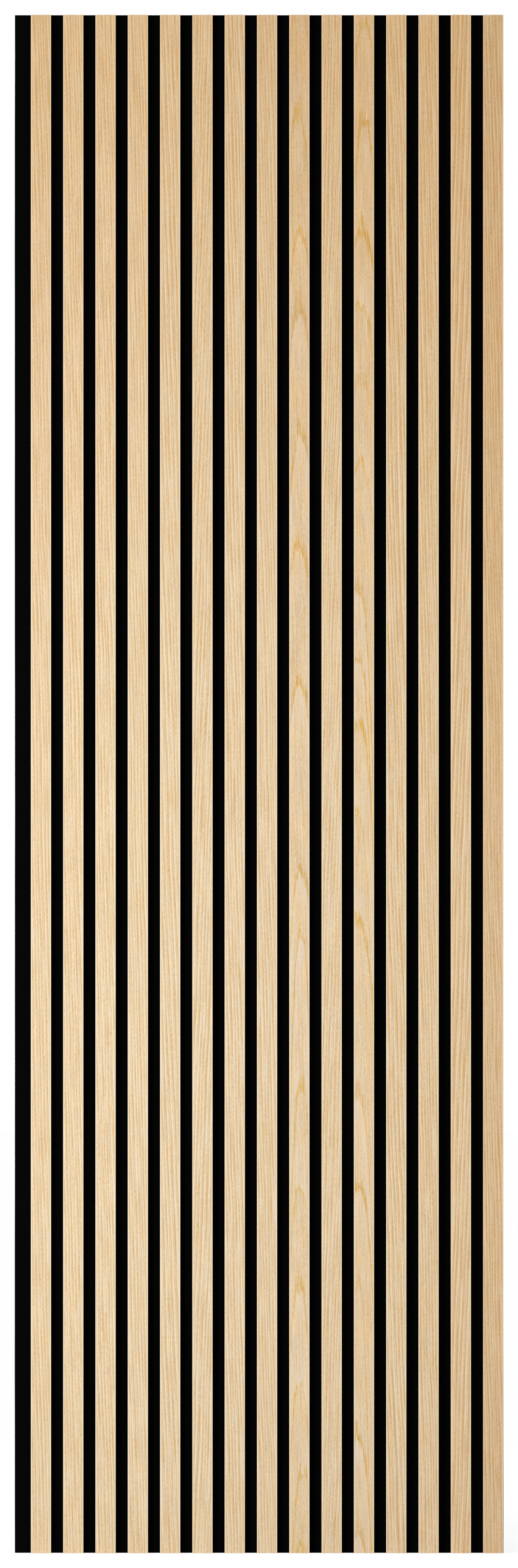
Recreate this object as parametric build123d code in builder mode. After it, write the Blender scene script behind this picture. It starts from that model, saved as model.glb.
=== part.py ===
"""Slatted acoustic wall panel: oak-faced slats stapled to a sheet of black felt.

Frame: the origin is the centre of the felt's back face, which lies on the wall. +X is to the
viewer's right, +Z is up along the slats, and the slats face the viewer towards -Y.
"""

import os

from build123d import *

# Panel
panel_length = 1905.0
felt_thickness = 9.0
joint_lip = 20.0  # bare felt left of the first slat; the last slat ends flush with the felt

# Slats, each a black fibreboard core with an oak veneer on its face
slat_count = 15
slat_width = 25.0
slat_gap = 15.0
slat_thickness = 12.0
veneer_thickness = 0.6
arris_radius = 0.25  # the veneer's long front edges are sanded to this

# Staples, driven from the back through the felt into the cores
staples_per_slat = 5
staple_end_inset = 60.0
crown_width = 10.0
wire_width = 1.25
wire_thickness = 1.0
crown_sink = 0.4  # how far the crowns are pressed in below the felt's back
point_cover = 4.4  # core left in front of the staple points

# Sizes that follow
slat_pitch = slat_width + slat_gap
slat_field = slat_count * slat_pitch - slat_gap
panel_width = joint_lip + slat_field
slat_field_x = (panel_width - slat_field) / 2
core_thickness = slat_thickness - veneer_thickness
eased_arris = min(arris_radius, 0.9 * veneer_thickness)
staple_spacing = (panel_length - 2 * staple_end_inset) / (staples_per_slat - 1)
leg_spacing = crown_width - wire_thickness
leg_clear = leg_spacing - wire_thickness
leg_bite = core_thickness - point_cover
staple_depth = felt_thickness - crown_sink + leg_bite

# Upright sketch planes, from the wall towards the viewer: local x is X and local y is Z
wall_plane = Plane.XZ
core_back_plane = wall_plane.offset(felt_thickness)
core_front_plane = core_back_plane.offset(core_thickness)

# Middle of each slat across the panel, and the level plane through each row of staples
slat_places = [slat_field_x + place.position.X for place in GridLocations(slat_pitch, 0, slat_count, 1)]
staple_heights = [place.position.Y for place in GridLocations(0, staple_spacing, 1, staples_per_slat)]
staple_rows = [Plane.XY.offset(height) for height in staple_heights]

os.makedirs("parts", exist_ok=True)


def write_piece(piece, name):
    """Labels a finished piece and writes it to its own file."""
    piece.part.label = name
    export_step(piece.part, f"parts/{name}.step")


# Felt: one sheet, with a hole for each leg of the staples and a slot between them for the crown
with BuildPart() as felt:
    with BuildSketch(wall_plane):
        Rectangle(panel_width, panel_length)
        with Locations((slat_field_x, 0)):
            with GridLocations(slat_pitch, staple_spacing, slat_count, staples_per_slat):
                with GridLocations(leg_spacing, 0, 2, 1):
                    Rectangle(wire_thickness, wire_width, mode=Mode.SUBTRACT)
    extrude(amount=felt_thickness)
    with BuildSketch(wall_plane):
        with Locations((slat_field_x, 0)):
            with GridLocations(slat_pitch, staple_spacing, slat_count, staples_per_slat):
                Rectangle(leg_clear, wire_width)
    extrude(amount=crown_sink + wire_thickness, mode=Mode.SUBTRACT)
write_piece(felt, "felt_backing")

# Slats: a core with blind holes for the staple legs, and the veneer on its face
for number, slat_x in enumerate(slat_places, start=1):
    with BuildPart() as core:
        with BuildSketch(core_back_plane):
            with Locations((slat_x, 0)):
                Rectangle(slat_width, panel_length)
        extrude(amount=core_thickness)
        with BuildSketch(core_back_plane):
            with Locations((slat_x, 0)):
                with GridLocations(leg_spacing, staple_spacing, 2, staples_per_slat):
                    Rectangle(wire_thickness, wire_width)
        extrude(amount=leg_bite, mode=Mode.SUBTRACT)
    write_piece(core, f"slat_core_{number:02d}")

    with BuildPart() as veneer:
        with BuildSketch(core_front_plane):
            with Locations((slat_x, 0)):
                Rectangle(slat_width, panel_length)
        extrude(amount=veneer_thickness)
        front_edges = veneer.edges().filter_by(Axis.Z).group_by(Axis.Y)[0]
        fillet(front_edges, radius=eased_arris)
    write_piece(veneer, f"slat_veneer_{number:02d}")

# Staples: a crown across the slat and two straight legs, each staple a solid of its own
with BuildPart() as staples:
    with BuildSketch(*staple_rows):
        with Locations(*[(slat_x, -crown_sink) for slat_x in slat_places]):
            Rectangle(crown_width, staple_depth, align=(Align.CENTER, Align.MAX))
        with Locations(*[(slat_x, -crown_sink - wire_thickness) for slat_x in slat_places]):
            Rectangle(leg_clear, staple_depth, align=(Align.CENTER, Align.MAX), mode=Mode.SUBTRACT)
    extrude(amount=wire_width / 2, both=True)
write_piece(staples, "staples")
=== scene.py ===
"""Slatted acoustic wall panel: oak-faced slats on black felt, in a plain white studio."""

import bpy
import numpy as np
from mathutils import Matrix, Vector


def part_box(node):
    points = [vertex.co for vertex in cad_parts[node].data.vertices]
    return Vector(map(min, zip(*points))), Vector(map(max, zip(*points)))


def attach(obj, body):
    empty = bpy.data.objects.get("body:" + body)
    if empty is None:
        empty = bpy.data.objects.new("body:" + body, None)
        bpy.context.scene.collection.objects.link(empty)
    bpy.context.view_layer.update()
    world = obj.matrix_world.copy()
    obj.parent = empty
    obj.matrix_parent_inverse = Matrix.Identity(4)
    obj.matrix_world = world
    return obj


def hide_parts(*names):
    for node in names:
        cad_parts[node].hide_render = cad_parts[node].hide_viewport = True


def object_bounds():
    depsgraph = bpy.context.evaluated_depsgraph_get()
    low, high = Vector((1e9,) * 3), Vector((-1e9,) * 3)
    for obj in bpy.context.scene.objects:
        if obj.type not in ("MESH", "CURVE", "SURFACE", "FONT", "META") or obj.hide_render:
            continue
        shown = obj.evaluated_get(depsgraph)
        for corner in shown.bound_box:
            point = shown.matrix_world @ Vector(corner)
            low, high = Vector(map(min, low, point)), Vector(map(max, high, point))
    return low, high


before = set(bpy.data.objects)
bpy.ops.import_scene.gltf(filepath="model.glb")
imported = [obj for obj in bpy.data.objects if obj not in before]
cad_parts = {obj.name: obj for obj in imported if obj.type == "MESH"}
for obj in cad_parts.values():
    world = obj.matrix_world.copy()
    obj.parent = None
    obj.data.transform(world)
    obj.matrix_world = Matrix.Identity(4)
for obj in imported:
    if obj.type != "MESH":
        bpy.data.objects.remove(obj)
cad_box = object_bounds()

# Felt backing
# One sheet of black polyester felt, needled flat, that carries every slat and soaks up sound in the
# gaps. It is knife-cut, so its long edges wander a little, and each staple pulls a dent into its back.
mm = 0.001
felt_low, felt_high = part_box("felt_backing")
slat_count = sum(name.startswith("slat_core_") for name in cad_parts)
slat_numbers = range(1, slat_count + 1)
slat_boxes = [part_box(f"slat_core_{number:02d}") for number in slat_numbers]
slat_middles = np.array([(low.x + high.x) / 2 for low, high in slat_boxes])
staple_low, staple_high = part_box("staples")
staple_rows = 5
half_wire = 0.6 * mm
staple_heights = np.linspace(staple_low.z + half_wire, staple_high.z - half_wire, staple_rows)
half_crown = 5.0 * mm
dent_depth = 1.7 * mm
dent_spread = 2.6 * mm

# The knife's wander along a long edge: sines at three rates, in radians to the metre, their phases and shares
edge_wander = 0.22 * mm
wander_rates = np.array([5.1, 13.7, 41.0])
wander_phases = np.array([1.0, 2.0, 0.0])
wander_shares = np.array([1.0, 0.6, 0.3])

# Low down the right edge stands further out: by how much at most, from what height, and over what run
edge_spread = 0.45 * mm
edge_spread_start = -0.35
edge_spread_run = 0.45

# Mesh lines: an even spacing all over, and closer lines at these distances from each staple
column_spacing = 50.0 * mm
row_spacing = 20.0 * mm
closest_lines = 0.3 * mm
column_offsets = mm * np.array([-9.0, -6.6, -5.4, -4.6, -2.5, 0.0, 2.5, 4.6, 5.4, 6.6, 9.0])
row_offsets = mm * np.array([-7.0, -4.5, -3.0, -2.0, -1.2, -0.6, 0.0, 0.6, 1.2, 2.0, 3.0, 4.5, 7.0])


def felt_stations(places, offsets, low, high, spacing):
    """Positions from low to high, an even spacing apart, with a closer set of offsets round each place."""
    even = np.linspace(low, high, int(round((high - low) / spacing)) + 1)
    close = (places[:, None] + offsets[None, :]).ravel()
    both = np.unique(np.round(np.concatenate([even, close]), 5))
    keep = np.concatenate([[True], np.diff(both) > closest_lines])
    return both[keep]


def felt_dent(x, z):
    """Depth of the pull at each staple: a bell curve of the distance to the nearest crown's line."""
    across = np.abs(x[..., None] - slat_middles).min(-1)
    along = np.abs(z[..., None] - staple_heights).min(-1)
    gap = np.hypot(np.maximum(across - half_crown, 0.0), along)
    return dent_depth * np.exp(-((gap / dent_spread) ** 2))


def felt_edge(z, side):
    """How far a long edge stands to the right of its line: slow sines, and a spread low on the right edge."""
    angles = np.outer(z, wander_rates) + side * wander_phases
    wander = np.sin(angles) @ wander_shares / wander_shares.sum()
    lower = np.clip((edge_spread_start - z) / edge_spread_run, 0.0, 1.0) * (side > 0)
    return side * (edge_wander * wander + edge_spread * lower)


def felt_mesh():
    """A loop across the sheet, back then front, carried up its height; the two ends are closed by strips."""
    columns = felt_stations(slat_middles, column_offsets, felt_low.x, felt_high.x, column_spacing)
    rows = felt_stations(staple_heights, row_offsets, felt_low.z, felt_high.z, row_spacing)
    share = (columns - felt_low.x) / (felt_high.x - felt_low.x)
    x, z = np.meshgrid(columns, rows)
    x = x + (1 - share) * felt_edge(rows, -1.0)[:, None] + share * felt_edge(rows, 1.0)[:, None]
    back = np.stack([x, felt_high.y - felt_dent(x, z), z], -1)
    front = np.stack([x, np.full_like(x, felt_low.y), z], -1)
    loop = np.concatenate([back, front[:, ::-1]], 1)
    row_count, loop_count = loop.shape[:2]
    ids = np.arange(row_count * loop_count).reshape(row_count, loop_count)
    around = np.roll(ids, -1, axis=1)
    walls = np.stack([ids[:-1], ids[1:], around[1:], around[:-1]], -1).reshape(-1, 4)
    half = loop_count // 2
    near, far = ids[:, :half], ids[:, :half - 1:-1]
    bottom = np.stack([near[0, :-1], near[0, 1:], far[0, 1:], far[0, :-1]], -1)
    top = np.stack([near[-1, 1:], near[-1, :-1], far[-1, :-1], far[-1, 1:]], -1)
    mesh = bpy.data.meshes.new("felt_sheet")
    mesh.from_pydata(loop.reshape(-1, 3).tolist(), [], np.concatenate([walls, bottom, top]).tolist())
    mesh.update()
    return mesh


def feed(tree, node, feeds):
    """Gives a node's inputs numbers, colours or other nodes' outputs."""
    for key, value in feeds.items():
        if isinstance(value, bpy.types.NodeSocket):
            tree.links.new(value, node.inputs[key])
        else:
            node.inputs[key].default_value = value


def put(tree, kind, feeds=None, **settings):
    """Adds a node, sets its properties, and feeds its inputs."""
    node = tree.nodes.new(kind)
    for name, value in settings.items():
        setattr(node, name, value)
    feed(tree, node, feeds or {})
    return node


def reckon(tree, operation, *terms):
    """One Math node on numbers or outputs, giving its result."""
    return put(tree, "ShaderNodeMath", dict(enumerate(terms)), operation=operation).outputs[0]


def spread(tree, value, low, high, to_low=0.0, to_high=1.0):
    """Stretches the part of a value between low and high to a new range, and holds it there outside."""
    feeds = {"Value": value, "From Min": low, "From Max": high, "To Min": to_low, "To Max": to_high}
    return put(tree, "ShaderNodeMapRange", feeds).outputs["Result"]


def blend_colours(tree, share, first, second, blend_type="MIX"):
    """Mixes two colours by a share. A Mix node's colours are inputs 6 and 7, and their mix is output 2."""
    feeds = {"Factor": share, 6: first, 7: second}
    return put(tree, "ShaderNodeMix", feeds, data_type="RGBA", blend_type=blend_type).outputs[2]


def new_group(name, inputs, outputs):
    """A node group whose sockets hold numbers, apart from an output whose name ends in Colour."""
    group = bpy.data.node_groups.new(name, "ShaderNodeTree")
    for socket, value in inputs.items():
        made = group.interface.new_socket(socket, in_out="INPUT", socket_type="NodeSocketFloat")
        made.default_value = value
    for socket in outputs:
        kind = "NodeSocketColor" if socket.endswith("Colour") else "NodeSocketFloat"
        group.interface.new_socket(socket, in_out="OUTPUT", socket_type=kind)
    return group, group.nodes.new("NodeGroupInput").outputs, group.nodes.new("NodeGroupOutput")


def place_group(tree, group, **feeds):
    """Places a node group in a material; underscores in the names stand for spaces."""
    named = {name.replace("_", " "): value for name, value in feeds.items()}
    return put(tree, "ShaderNodeGroup", named, node_tree=group).outputs


def new_finish(name, **constants):
    """A material and its Principled shader, whose constant sockets are set here."""
    material = bpy.data.materials.new(name)
    material.use_nodes = True
    shader = material.node_tree.nodes["Principled BSDF"]
    feed(material.node_tree, shader, {socket.replace("_", " "): value for socket, value in constants.items()})
    return material, material.node_tree, shader


def emboss(tree, shader, height, strength, distance):
    """Raises a finish's surface by a height, through one Bump node."""
    bump = put(tree, "ShaderNodeBump", {"Height": height, "Strength": strength, "Distance": distance})
    feed(tree, shader, {"Normal": bump.outputs["Normal"]})


def dress(piece, material):
    """Gives a piece one material in place of what it had."""
    piece.data.materials.clear()
    piece.data.materials.append(material)


def matted_fibre_group():
    """Short fibres lying every way: noise bent by its own swirl, cut to thin flecks, over slow clumps."""
    group, given, result = new_group(
        "matted_fibre",
        {"Fibre Size": 1.0 * mm, "Clump Size": 20.0 * mm},
        ["Fleck", "Clump", "Height"],
    )
    fleck_range = (0.50, 0.68)
    clump_range = (0.30, 0.70)
    place = put(group, "ShaderNodeTexCoord").outputs["Object"]
    fine = reckon(group, "DIVIDE", 1.0, given["Fibre Size"])
    coarse = reckon(group, "DIVIDE", 1.0, given["Clump Size"])
    swirl_feeds = {"Vector": place, "Scale": fine, "Detail": 3.0, "Distortion": 2.2}
    swirl = put(group, "ShaderNodeTexNoise", swirl_feeds).outputs["Fac"]
    clump_feeds = {"Vector": place, "Scale": coarse, "Detail": 2.0}
    clump = put(group, "ShaderNodeTexNoise", clump_feeds).outputs["Fac"]
    feed(group, result, {
        "Fleck": spread(group, swirl, *fleck_range),
        "Clump": spread(group, clump, *clump_range),
        "Height": swirl,
    })
    return group


matted_fibre = matted_fibre_group()


def felt_finish():
    """Black felt: near-black matted fibres with paler strands, dull, with a faint fuzz of sheen."""
    black = (0.0007, 0.0007, 0.0008, 1.0)
    strand = (0.0028, 0.0028, 0.0031, 1.0)
    strand_shares = (0.35, 1.0)
    roughness = (0.90, 1.00)
    material, tree, shader = new_finish(
        "black_felt", Specular_IOR_Level=0.03, Sheen_Weight=0.012, Sheen_Roughness=0.6,
    )
    fibre = place_group(tree, matted_fibre, Fibre_Size=1.6 * mm, Clump_Size=18.0 * mm)
    clumped = spread(tree, fibre["Clump"], 0.0, 1.0, *strand_shares)
    share = reckon(tree, "MULTIPLY", fibre["Fleck"], clumped)
    feed(tree, shader, {
        "Base Color": blend_colours(tree, share, black, strand),
        "Roughness": spread(tree, fibre["Clump"], 0.0, 1.0, *roughness),
    })
    emboss(tree, shader, fibre["Height"], strength=0.8, distance=0.9 * mm)
    return material


felt_sheet = bpy.data.objects.new("felt_sheet", felt_mesh())
bpy.context.scene.collection.objects.link(felt_sheet)
dress(felt_sheet, felt_finish())
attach(felt_sheet, "root")
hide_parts("felt_backing")

# Slat cores
# Fifteen strips of fibreboard dyed black right through, ripped to width, so that only black shows in
# the gaps. Each is stapled to the felt from behind.


def core_finish():
    """Dyed fibreboard: black wood fibre with a few brown-grey flecks, fuzzy where the saw has cut it."""
    dye = (0.0014, 0.0014, 0.0013, 1.0)
    fleck = (0.0062, 0.0057, 0.0051, 1.0)
    roughness = (0.75, 0.90)
    material, tree, shader = new_finish("black_fibreboard", Specular_IOR_Level=0.06)
    fibre = place_group(tree, matted_fibre, Fibre_Size=0.7 * mm, Clump_Size=12.0 * mm)
    feed(tree, shader, {
        "Base Color": blend_colours(tree, fibre["Fleck"], dye, fleck),
        "Roughness": spread(tree, fibre["Clump"], 0.0, 1.0, *roughness),
    })
    emboss(tree, shader, fibre["Height"], strength=0.5, distance=0.3 * mm)
    return material


black_fibreboard = core_finish()
for number in slat_numbers:
    dress(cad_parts[f"slat_core_{number:02d}"], black_fibreboard)

# Slat veneers
# Each core is faced with a strip of pale oak veneer under matt lacquer, glued on, its long edges eased
# by sanding. Most strips are cut across the growth rings and show fine lines. Two are cut flat, so the
# rings come up as nested arches.

# Noise in the grain: a step of the slat's seed, then the width across and the length along in millimetres,
# and how many octaves of finer noise lie over it
grain_noises = {
    "sway": (0.0, 14.0, 130.0, 1.0),
    "uneven": (3.1, 11.0, 1100.0, 0.0),
    "early break": (21.3, 3.0, 62.0, 2.0),
    "late break": (37.9, 3.0, 70.0, 2.0),
    "fine": (53.3, 0.95, 42.0, 2.0),
    "middle": (71.7, 2.4, 80.0, 1.0),
    "cloud": (89.1, 12.0, 70.0, 2.0),
    "dash": (103.9, 0.52, 6.0, 0.0),
    "speck": (131.3, 0.70, 3.4, 2.0),
    "ragged": (149.9, 1.4, 20.0, 2.0),
    "blush": (167.3, 1.2, 26.0, 4.0),
    "drift": (181.9, 16.0, 50.0, 1.0),
    "lumps": (199.3, 6.0, 45.0, 0.0),
}


def streak(tree, across, along, seed, width, length, detail=0.0):
    """Noise drawn out along the slat, about width across and length along; middle value a half."""
    vector = put(tree, "ShaderNodeCombineXYZ", {
        "X": reckon(tree, "DIVIDE", across, width),
        "Y": reckon(tree, "DIVIDE", along, length),
        "Z": seed,
    })
    noise = put(tree, "ShaderNodeTexNoise", {"Vector": vector.outputs[0], "Scale": 1.0, "Detail": detail})
    return noise.outputs["Fac"]


def centred(tree, value, size):
    """A value about a half made one about nought, times a size."""
    return reckon(tree, "MULTIPLY", reckon(tree, "SUBTRACT", value, 0.5), size)


def fall_off(tree, value):
    """One at nought, falling away above it: e to the power of minus the value."""
    return reckon(tree, "EXPONENT", reckon(tree, "MULTIPLY", value, -1.0))


def straight_grain_group():
    """Lines where the growth rings meet the face: a cosine of the distance across the slat, in rings.

    The distance leans with height and bends by slow noise. Dark and pale lines are powers of the cosine,
    broken up along their length, and finer streaks, pores and specks lie over them.
    """
    group, given, result = new_group(
        "oak_straight_grain",
        {"Slat Middle": 0.0, "Lean": 0.03, "Ring Width": 3.8 * mm, "Seed": 1.0, "Line Strength": 1.0,
         "Streaking": 1.0, "Clouding": 1.0},
        ["Across", "Along", "Tone", "Pore", "Blush", "Ragged"],
    )
    full_turn = 6.2832
    bend_seed = 4.7
    bend_length = 220.0 * mm
    bend_size = 4.0 * mm
    sway_size = 3.2 * mm
    ring_unevenness = 1.3
    early_power, early_strength = 6.0, 0.68
    late_power, late_strength = 4.0, 0.50
    between_phase, between_strength = 1.0, 0.34
    between_range = (0.30, 0.70)
    break_range = (0.34, 0.66)
    pore_range = (0.56, 0.74)
    late_wood_pores = 0.35
    pore_depth = 0.38
    middle_strength = 0.50
    fine_strength = 1.25
    cloud_strength = 0.10
    speck_strengths = (0.60, 1.25)
    mean_tone = 0.565
    drift_strength = 0.10
    lumpiness = 0.8
    place = put(group, "ShaderNodeSeparateXYZ", {0: put(group, "ShaderNodeTexCoord").outputs["Object"]})
    across = reckon(group, "SUBTRACT", place.outputs["X"], given["Slat Middle"])
    along = place.outputs["Z"]

    def noise(name, side):
        """The noise of that name, at a distance across and the height along."""
        step, width, length, detail = grain_noises[name]
        seed = reckon(group, "ADD", given["Seed"], step)
        return streak(group, side, along, seed, width * mm, length * mm, detail)

    bend = centred(group, streak(group, 0.0, along, bend_seed, 1.0, bend_length), bend_size)
    sway = centred(group, noise("sway", across), sway_size)
    leaned = reckon(group, "MULTIPLY_ADD", along, given["Lean"], across)
    bent = reckon(group, "ADD", leaned, reckon(group, "ADD", bend, sway))
    uneven = centred(group, noise("uneven", bent), ring_unevenness)
    rings = reckon(group, "ADD", reckon(group, "DIVIDE", bent, given["Ring Width"]), uneven)
    wave = reckon(group, "COSINE", reckon(group, "MULTIPLY", rings, full_turn))
    early = reckon(group, "POWER", spread(group, wave, -1.0, 1.0), early_power)
    late = reckon(group, "POWER", spread(group, wave, 1.0, -1.0), late_power)
    between = reckon(group, "COSINE", reckon(group, "MULTIPLY_ADD", rings, 2 * full_turn, between_phase))
    early_break = spread(group, noise("early break", bent), *break_range)
    late_break = spread(group, noise("late break", bent), *break_range)
    fine = noise("fine", bent)

    dark_lines = reckon(group, "MULTIPLY", reckon(group, "MULTIPLY", early, early_break), early_strength)
    pale_lines = reckon(group, "MULTIPLY", reckon(group, "MULTIPLY", late, late_break), late_strength)
    between_share = spread(group, fine, *between_range, 0.0, between_strength)
    lines = reckon(group, "SUBTRACT", pale_lines, dark_lines)
    lines = reckon(group, "ADD", lines, centred(group, noise("middle", bent), middle_strength))
    lines = reckon(group, "MULTIPLY_ADD", between, between_share, lines)
    lines = reckon(group, "MULTIPLY", lines, given["Line Strength"])

    cloud = centred(group, noise("cloud", across), cloud_strength)
    speck = centred(group, noise("speck", bent), 1.0)
    speck_strength = spread(group, given["Streaking"], 0.0, 1.0, *speck_strengths)
    porous = spread(group, early, 0.0, 1.0, late_wood_pores, 1.0)
    pore = reckon(group, "MULTIPLY", spread(group, noise("dash", bent), *pore_range), porous)
    tone = reckon(group, "MULTIPLY_ADD", centred(group, fine, fine_strength), given["Streaking"], lines)
    tone = reckon(group, "MULTIPLY_ADD", cloud, given["Clouding"], tone)
    tone = reckon(group, "MULTIPLY_ADD", speck, speck_strength, tone)
    tone = reckon(group, "MULTIPLY_ADD", pore, -pore_depth, tone)

    drift = centred(group, noise("drift", across), drift_strength)
    lumps = centred(group, noise("lumps", across), lumpiness)
    feed(group, result, {
        "Across": across,
        "Along": along,
        "Tone": reckon(group, "ADD", tone, mean_tone),
        "Pore": pore,
        "Blush": reckon(group, "MULTIPLY_ADD", drift, given["Clouding"], noise("blush", bent)),
        "Ragged": reckon(group, "ADD", noise("ragged", across), lumps),
    })
    return group


def arch_group():
    """One arch of a flat-cut face: a ring's porous early wood, honey-coloured, with paler wood beside it.

    The arch's line falls away from its apex as the distance across to the power 2.5. Honey lies above the
    line and fades upwards by the cube of the height, over the reach at the apex and a leg's width where the
    line is steep. Paler wood lies under the line, or over it if Paleness is negative.
    """
    group, given, result = new_group(
        "oak_arch",
        {"Across": 0.0, "Along": 0.0, "Ragged": 0.5, "Apex": 0.0, "Centre": 0.0, "Half Width": 9.0 * mm,
         "Reach": 12.0 * mm, "Strength": 1.0, "Paleness": 0.5, "Honey": 0.0, "Cream": 0.0},
        ["Honey", "Cream"],
    )
    fall_power = 2.5
    fall_at_half_width = 40.0 * mm
    line_raggedness = 30.0 * mm
    top_raggedness = 50.0 * mm
    apex_softness = 4.0 * mm
    leg_softness = 0.6 * mm
    leg_narrowing = 0.15
    leg_width = 1.2 * mm
    honey_power = 3.0
    pale_reach = 26.0 * mm
    pale_leg_width = 1.2 * mm
    aside = reckon(group, "ABSOLUTE", reckon(group, "SUBTRACT", given["Across"], given["Centre"]))
    share = reckon(group, "DIVIDE", aside, given["Half Width"])
    fall = reckon(group, "MULTIPLY", reckon(group, "POWER", share, fall_power), fall_at_half_width)
    slope = reckon(group, "POWER", share, fall_power - 1.0)
    slope = reckon(group, "MULTIPLY", slope, fall_power * fall_at_half_width)
    slope = reckon(group, "DIVIDE", slope, given["Half Width"])
    height = reckon(group, "ADD", reckon(group, "SUBTRACT", given["Along"], given["Apex"]), fall)
    ragged = centred(group, given["Ragged"], 1.0)
    line_height = reckon(group, "MULTIPLY_ADD", ragged, line_raggedness, height)
    top_height = reckon(group, "MULTIPLY_ADD", ragged, top_raggedness, height)

    softness = reckon(group, "MULTIPLY_ADD", slope, leg_softness, apex_softness)
    above = put(group, "ShaderNodeMapRange", {
        "Value": line_height, "From Min": reckon(group, "MULTIPLY", softness, -1.0), "From Max": softness,
    }, interpolation_type="SMOOTHSTEP").outputs["Result"]
    narrowing = reckon(group, "MULTIPLY_ADD", slope, leg_narrowing, 1.0)
    fade = reckon(group, "MULTIPLY_ADD", slope, leg_width, reckon(group, "DIVIDE", given["Reach"], narrowing))
    depth = reckon(group, "DIVIDE", reckon(group, "MAXIMUM", top_height, 0.0), fade)
    honey = fall_off(group, reckon(group, "POWER", depth, honey_power))
    honey = reckon(group, "MULTIPLY", reckon(group, "MULTIPLY", honey, above), given["Strength"])

    pale_fade = reckon(group, "MULTIPLY_ADD", slope, pale_leg_width, pale_reach)
    nearness = fall_off(group, reckon(group, "DIVIDE", reckon(group, "ABSOLUTE", line_height), pale_fade))
    below = reckon(group, "SUBTRACT", 1.0, above)
    pale_below = reckon(group, "MULTIPLY", below, spread(group, given["Paleness"], 0.0, 1.0))
    pale_above = reckon(group, "MULTIPLY", above, spread(group, given["Paleness"], 0.0, -1.0))
    pale = reckon(group, "MULTIPLY", nearness, reckon(group, "ADD", pale_below, pale_above))
    feed(group, result, {
        "Honey": reckon(group, "MAXIMUM", given["Honey"], honey),
        "Cream": reckon(group, "MAXIMUM", given["Cream"], pale),
    })
    return group


def oak_colour_group():
    """Oak's colour: early wood to late wood by tone, then cream and honey by their shares, a blush that turns
    it warmer or greyer, and a painted highlight along the arrises.

    It is then made warmer and darker by the warmth, which holds each strip's own warmth and a painted shade
    across the panel, and more by a painted shade that grows with the square of the height above where it is
    least. The depth scales it all.
    """
    group, given, result = new_group(
        "oak_colour",
        {"Tone": 0.5, "Blush": 0.5, "Honey": 0.0, "Cream": 0.0, "Warmth": 0.0, "Depth": 1.0, "Across": 0.0,
         "Along": 0.0},
        ["Colour"],
    )
    early_wood = (0.740, 0.492, 0.228, 1.0)
    late_wood = (0.970, 0.820, 0.600, 1.0)
    honey = (0.870, 0.700, 0.250, 1.0)
    cream = (0.950, 0.810, 0.650, 1.0)
    painted_arris_highlight = (1.000, 0.860, 0.630, 1.0)
    blushed = (1.060, 1.000, 0.870, 1.0)
    greyed = (0.940, 1.000, 1.135, 1.0)
    painted_shade_tint = (1.000, 0.850, 0.670, 1.0)
    cream_share = 0.80
    honey_tones = (0.25, 0.85)
    honey_shares = (1.35, 0.75)
    blush_range = (0.25, 0.75)
    least_shade_height = -0.42
    painted_shade_rate = 0.40
    highlight_band = (10.8 * mm, 11.7 * mm)
    highlight_share = 0.85
    colour = blend_colours(group, given["Tone"], early_wood, late_wood)
    colour = blend_colours(group, reckon(group, "MULTIPLY", given["Cream"], cream_share), colour, cream)
    flecked = spread(group, given["Tone"], *honey_tones, *honey_shares)
    honeyed = reckon(group, "MULTIPLY", given["Honey"], flecked)
    colour = blend_colours(group, honeyed, colour, honey, "MULTIPLY")
    hue = blend_colours(group, spread(group, given["Blush"], *blush_range), greyed, blushed)
    colour = blend_colours(group, 1.0, colour, hue, "MULTIPLY")
    # Painted highlight: a paler band along each long edge, where the eased arris would catch the light
    aside = reckon(group, "ABSOLUTE", given["Across"])
    colour = blend_colours(group, spread(group, aside, *highlight_band, 0.0, highlight_share), colour, painted_arris_highlight)
    # Painted shade: warmer and darker with the square of the height above where it is least, and by the
    # warmth, which also carries a painted shade across the panel
    above_least = reckon(group, "SUBTRACT", given["Along"], least_shade_height)
    above_least = reckon(group, "MAXIMUM", above_least, 0.0)
    shaded_above = reckon(group, "MULTIPLY", reckon(group, "MULTIPLY", above_least, above_least), painted_shade_rate)
    warmth_and_shade_share = reckon(group, "ADD", given["Warmth"], shaded_above)
    colour = blend_colours(group, warmth_and_shade_share, colour, painted_shade_tint, "MULTIPLY")
    scaled = put(group, "ShaderNodeHueSaturation", {"Color": colour, "Value": given["Depth"]})
    feed(group, result, {"Colour": scaled.outputs["Color"]})
    return group


straight_grain = straight_grain_group()
oak_arch = arch_group()
oak_colour = oak_colour_group()

# How far the lines lean, in metres across for each metre down, the ring width in millimetres, and how strong
# the lines are: as usual, and where a slat differs
usual_cut = (0.024, 3.8, 1.0)
other_cuts = {
    2: (0.024, 3.8, 0.9),
    5: (0.035, 4.9, 1.0),
    6: (-0.036, 4.5, 1.0),
    7: (0.024, 4.0, 1.25),
    9: (0.024, 3.8, 0.2),
    10: (-0.030, 3.8, 1.0),
    11: (0.024, 3.8, 0.2),
    12: (0.032, 4.6, 1.15),
    14: (-0.036, 5.2, 1.2),
}
seed_step = 11.7

# Streaking and clouding of a slat cut across the rings, and of one cut flat
across_cut_figure = (1.0, 1.0)
flat_cut_figure = (0.95, 5.0)

# Painted shade across the panel, warmer and darker towards both sides and most towards the right: its warmth
# at the panel's middle, what each metre to the right adds, and what the square of that distance adds; then
# what single strips of veneer add to the warmth, and their depth of colour where it differs
painted_shade_middle = 0.03
painted_shade_slope = 0.55
painted_shade_curve = 3.30
extra_warmths = {9: 0.08, 15: 0.15}
depths = {1: 0.98, 11: 1.02, 15: 0.945}

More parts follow.
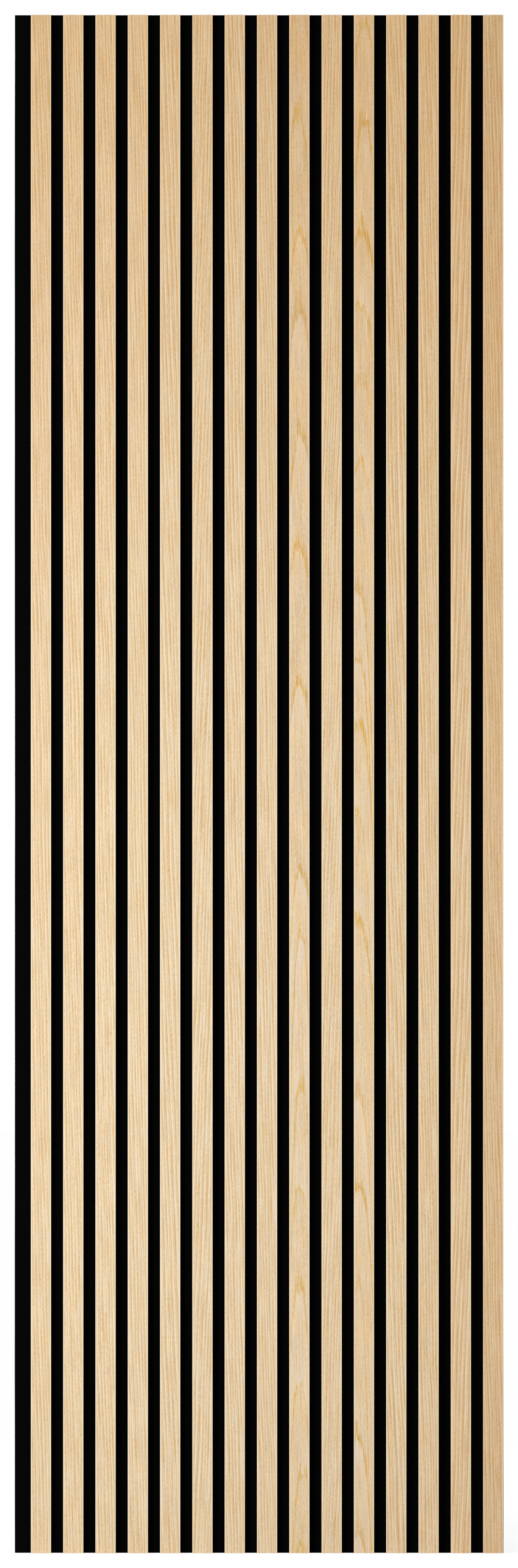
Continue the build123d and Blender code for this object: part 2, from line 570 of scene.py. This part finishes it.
# Arches of the two flat-cut slats, from the top down, in millimetres: the height of the apex, its place
# across, the half width 40 mm below it, and how far the honey colour reaches above it; then the strength of
# the honey, and how much paler the wood is under the arch, or over it where that is negative
flat_cut_arches = {
    9: [
        (960, 0, 10.0, 5, 0.65, 0.0), (822, -1, 8.5, 26, 0.75, -0.9), (676, 1, 10.0, 9, 0.8, 0.4),
        (577, 0, 10.0, 26, 0.60, 0.5), (429, 2, 10.0, 18, 0.65, 0.5), (287, -1, 12.0, 13, 0.7, 0.2),
        (121, 0, 10.5, 10, 0.8, 0.8), (-112, 2, 9.0, 13, 0.75, 0.6), (-189, 2, 6.0, 7, 0.75, 0.8),
        (-385, 2, 7.0, 26, 0.85, -0.8), (-506, 1, 8.5, 8, 0.85, -0.9), (-630, 0, 8.0, 16, 0.6, 0.7),
        (-743, 1, 8.0, 5, 0.95, -0.9), (-857, 5, 9.0, 6, 1.0, -0.6), (-948, 3, 8.0, 18, 0.75, 0.0),
    ],
    11: [
        (934, 0, 10.5, 11, 0.65, -0.2), (818, 0, 8.5, 11, 0.8, 0.1), (679, -3, 13.0, 12, 0.85, -0.2),
        (588, -4, 12.0, 8, 0.85, -0.8), (493, -3, 12.0, 18, 0.3, 0.2), (392, -6, 13.0, 12, 0.75, -0.6),
        (238, -7, 8.5, 13, 0.7, 0.6), (152, -7, 8.5, 8, 0.85, 0.6), (67, -6, 10.0, 8, 1.0, -0.6),
        (-46, -7, 8.0, 12, 0.75, -0.8), (-176, -7, 12.0, 6, 1.0, -0.3), (-288, -9, 18.0, 45, 0.3, -0.6),
        (-393, -8, 9.5, 20, 0.35, 0.8), (-505, -6, 10.0, 10, 0.9, 0.4), (-620, -8, 6.5, 12, 0.5, 0.1),
        (-816, -9, 11.0, 10, 0.8, 0.9), (-927, -8, 9.0, 18, 0.55, 0.7),
    ],
}

# Small dark flecks, such as a pin knot, in millimetres: the height, the place across, the half length and the
# half width; then how dark
flecks = {
    6: [(683, 11.5, 7.0, 0.7, 0.8)],
    10: [(445, -6.8, 6.0, 0.7, 1.0)],
    14: [(167, 7.5, 1.4, 0.8, 0.9)],
}


def fleck(tree, tone, grain, height, centre, half_length, half_width, darkness):
    """The tone with a dark fleck in it: a bell curve of the distances along and across."""
    up = reckon(tree, "DIVIDE", reckon(tree, "SUBTRACT", grain["Along"], height), half_length)
    side = reckon(tree, "DIVIDE", reckon(tree, "SUBTRACT", grain["Across"], centre), half_width)
    bell = fall_off(tree, reckon(tree, "MULTIPLY_ADD", up, up, reckon(tree, "MULTIPLY", side, side)))
    return reckon(tree, "MULTIPLY_ADD", bell, -darkness, tone)


def oak_finish(number):
    """The lacquered oak of one slat, with its own lean, rings, arches and warmth, and its share of the
    painted shade across the panel.
    """
    roughness = (0.62, 0.50)
    material, tree, shader = new_finish(f"oak_veneer_{number:02d}", Specular_IOR_Level=0.16)
    middle = float(slat_middles[number - 1])
    lean, ring_width, line_strength = other_cuts.get(number, usual_cut)
    streaking, clouding = flat_cut_figure if number in flat_cut_arches else across_cut_figure
    grain = place_group(
        tree, straight_grain, Slat_Middle=middle, Lean=lean, Ring_Width=ring_width * mm,
        Seed=seed_step * number, Line_Strength=line_strength, Streaking=streaking, Clouding=clouding,
    )
    honey, cream = 0.0, 0.0
    for apex, centre, half_width, reach, strength, paleness in flat_cut_arches.get(number, []):
        arch = place_group(
            tree, oak_arch, Across=grain["Across"], Along=grain["Along"], Ragged=grain["Ragged"],
            Apex=apex * mm, Centre=centre * mm, Half_Width=half_width * mm, Reach=reach * mm,
            Strength=strength, Paleness=paleness, Honey=honey, Cream=cream,
        )
        honey, cream = arch["Honey"], arch["Cream"]
    tone = grain["Tone"]
    for *sizes, darkness in flecks.get(number, []):
        height, centre, half_length, half_width = (size * mm for size in sizes)
        tone = fleck(tree, tone, grain, height, centre, half_length, half_width, darkness)
    # Painted shade across the panel: the warmth grows towards both sides, most towards the right, and darkens
    # and warms the oak there
    warmth = painted_shade_middle + painted_shade_slope * middle + painted_shade_curve * middle ** 2
    warmth += extra_warmths.get(number, 0.0)
    colour = place_group(
        tree, oak_colour, Tone=tone, Blush=grain["Blush"], Honey=honey, Cream=cream,
        Warmth=warmth, Depth=depths.get(number, 1.0), Across=grain["Across"], Along=grain["Along"],
    )
    feed(tree, shader, {
        "Base Color": colour["Colour"],
        "Roughness": spread(tree, grain["Tone"], 0.0, 1.0, *roughness),
    })
    relief = reckon(tree, "SUBTRACT", grain["Tone"], grain["Pore"])
    emboss(tree, shader, relief, strength=0.08, distance=0.1 * mm)
    return material


for number in slat_numbers:
    dress(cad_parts[f"slat_veneer_{number:02d}"], oak_finish(number))

# Staples
# Zinc-plated wire staples, five to a slat, driven through the felt into the cores until the crowns
# sink into the felt.


def staple_finish():
    """Plated wire: bright grey metal, dulled in patches."""
    bright = (0.62, 0.62, 0.60, 1.0)
    dulled = (0.36, 0.35, 0.33, 1.0)
    patches_per_metre = 420.0
    patch_range = (0.40, 0.70)
    roughness = (0.28, 0.50)
    material, tree, shader = new_finish("plated_wire", Metallic=1.0)
    place = put(tree, "ShaderNodeTexCoord").outputs["Object"]
    patch_feeds = {"Vector": place, "Scale": patches_per_metre, "Detail": 3.0}
    patch = put(tree, "ShaderNodeTexNoise", patch_feeds).outputs["Fac"]
    share = spread(tree, patch, *patch_range)
    feed(tree, shader, {
        "Base Color": blend_colours(tree, share, bright, dulled),
        "Roughness": spread(tree, share, 0.0, 1.0, *roughness),
    })
    return material


dress(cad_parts["staples"], staple_finish())

# Studio
# A pale floor just under the panel, and white all round. One soft lamp stands in front on the left, and
# the white gives a dim, even fill. It shows at its full brightness only to the camera, in mirrors and
# through glass.
white = (1.0, 1.0, 1.0, 1.0)
floor_grey = (0.80, 0.80, 0.80, 1.0)
floor_reach = 30.0
floor_gap = 0.2 * mm
floor_glow = 0.70
world_fill = 0.36
key_place = np.array([-1.62, -2.56, -0.20])
key_aim = np.array([-0.05, 0.0, -0.10])
key_width, key_height = 0.5, 0.8
key_power = 53.3


def seen_ray(tree):
    """1 for rays from the camera, from a mirror or through glass, which see the white studio; 0 for light."""
    path = put(tree, "ShaderNodeLightPath").outputs
    seen = reckon(tree, "MAXIMUM", path["Is Camera Ray"], path["Is Glossy Ray"])
    return reckon(tree, "MAXIMUM", seen, path["Is Transmission Ray"])


def studio_floor():
    """A flat square at the foot of the panel, whose glow is only seen and lights nothing."""
    corner = np.array([[-1, -1], [1, -1], [1, 1], [-1, 1]]) * floor_reach
    corners = np.column_stack([corner, np.full(4, cad_box[0].z - floor_gap)])
    mesh = bpy.data.meshes.new("floor")
    mesh.from_pydata(corners.tolist(), [], [(0, 1, 2, 3)])
    material, tree, shader = new_finish(
        "studio_white", Base_Color=floor_grey, Roughness=0.9, Specular_IOR_Level=0.0, Emission_Color=white,
    )
    material.cycles.emission_sampling = "NONE"
    feed(tree, shader, {"Emission Strength": reckon(tree, "MULTIPLY", seen_ray(tree), floor_glow)})
    mesh.materials.append(material)
    return bpy.data.objects.new("floor", mesh)


floor = studio_floor()
bpy.context.scene.collection.objects.link(floor)

world = bpy.data.worlds.new("studio")
world.use_nodes = True
bpy.context.scene.world = world
glow = spread(world.node_tree, seen_ray(world.node_tree), 0.0, 1.0, world_fill, 1.0)
feed(world.node_tree, world.node_tree.nodes["Background"], {"Color": white, "Strength": glow})

key = bpy.data.lights.new("key", "AREA")
key.shape = "RECTANGLE"
key.size, key.size_y = key_width, key_height
key.energy = key_power
key_object = bpy.data.objects.new("key", key)
key_object.location = key_place.tolist()
away = Vector((key_place - key_aim).tolist())
key_object.rotation_euler = away.to_track_quat("Z", "Y").to_euler()
bpy.context.scene.collection.objects.link(key_object)

# Camera
# Square on to the face and far back with a long lens, so that the slats' sides don't show. Other views
# keep the lens and stand still further off, which limits how far back it can go.
photo_height = 2576
pixels_per_millimetre = 1.3267
frame_height = photo_height / pixels_per_millimetre * mm
sensor_length = 36.0
camera_distance = 25.0
camera = bpy.data.cameras.new("camera")
camera.sensor_width = sensor_length
camera.lens = sensor_length * camera_distance / frame_height
camera_object = bpy.data.objects.new("camera", camera)
camera_object.location = (0.0, cad_box[0].y - camera_distance, 0.0)
camera_object.rotation_euler = (np.pi / 2, 0.0, 0.0)
bpy.context.scene.collection.objects.link(camera_object)
bpy.context.scene.camera = camera_object
bpy.context.scene.view_settings.view_transform = "Standard"
